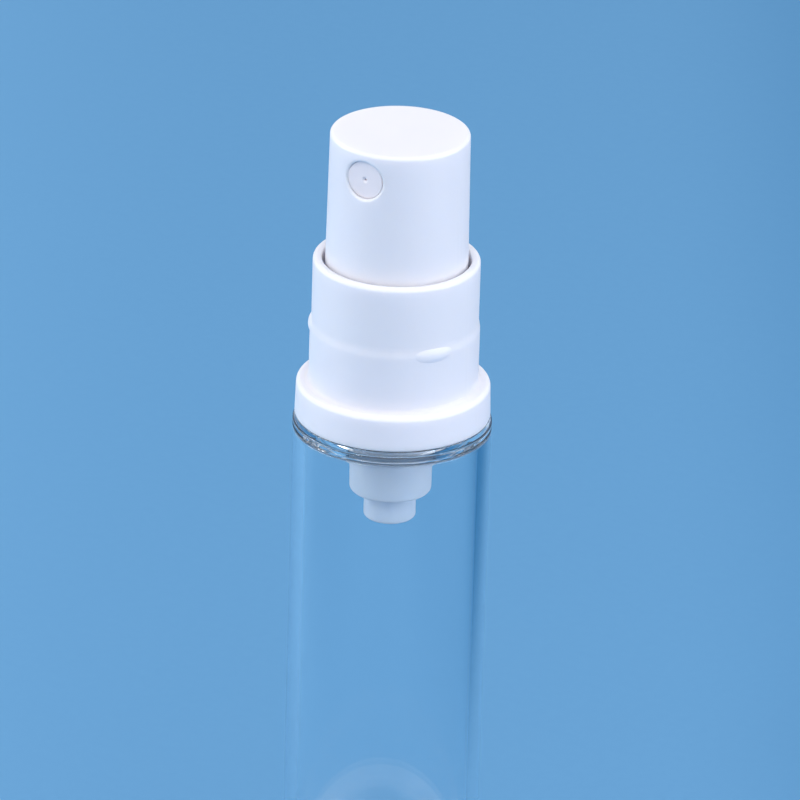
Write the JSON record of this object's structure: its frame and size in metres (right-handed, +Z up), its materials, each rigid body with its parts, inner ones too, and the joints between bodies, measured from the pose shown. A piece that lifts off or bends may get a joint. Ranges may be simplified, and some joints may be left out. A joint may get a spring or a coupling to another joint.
{
  "type": "airless pump bottle",
  "caption": "Slim clear airless spray bottle with a white press-on collar, a white push button with a side nozzle, an inner pump and a follower piston that rises as it empties.",
  "frame": {"origin": "centre of the foot of the tube, on the surface that the bottle stands on", "axes": "+Z up along the bottle's axis, -Y the way the nozzle sprays"},
  "size_m": [0.0225, 0.0224, 0.1091],
  "materials": {
    "clear_san": "clear moulded SAN, polished",
    "white_pp": "white moulded polypropylene, semi-gloss",
    "milky_pp": "natural milky polypropylene",
    "natural_pe": "natural low-density polyethylene",
    "acetal": "white acetal, satin",
    "insert_pom": "white acetal, fine matt face",
    "spring_steel": "drawn stainless spring wire",
    "ball_steel": "polished stainless ball"
  },
  "bodies": {
    "bottle": {"bottle_tube": "clear_san", "base_plug": "white_pp", "collar": "white_pp", "neck_gasket": "natural_pe", "pump_housing": "milky_pp", "housing_cap": "acetal", "return_spring": "spring_steel"},
    "plunger": {"stem": "acetal", "valve_rod": "acetal"},
    "button": {"actuator": "white_pp", "nozzle_insert": "insert_pom"},
    "piston": {"pump_piston": "natural_pe"},
    "check_ball": {"inlet_ball": "ball_steel"},
    "follower": {"follower_piston": "natural_pe"}
  },
  "joints": [
    {"name": "button_press", "type": "slide", "parent": "bottle", "child": "plunger", "axis": [0, 0, -1], "range_m": [0, 0.0045], "stiffness_N_per_m": 800, "springref_m": -0.005, "deforming": ["return_spring"]},
    {"name": "button_turn", "type": "hinge", "parent": "plunger", "child": "button", "pos_m": [0, 0, 0.095], "axis": [0, 0, 1], "continuous": true},
    {"name": "piston_stroke", "type": "slide", "parent": "bottle", "child": "piston", "axis": [0, 0, -1], "range_m": [0, 0.0037]},
    {"name": "ball_lift", "type": "slide", "parent": "bottle", "child": "check_ball", "axis": [0, 0, 1], "range_m": [0, 0.0008]},
    {"name": "follower_rise", "type": "slide", "parent": "bottle", "child": "follower", "axis": [0, 0, 1], "range_m": [0, 0.0568]}
  ],
  "couplings": [
    {"joint": "piston_stroke", "follows": "button_press", "ratio": 0.8222}
  ]
}
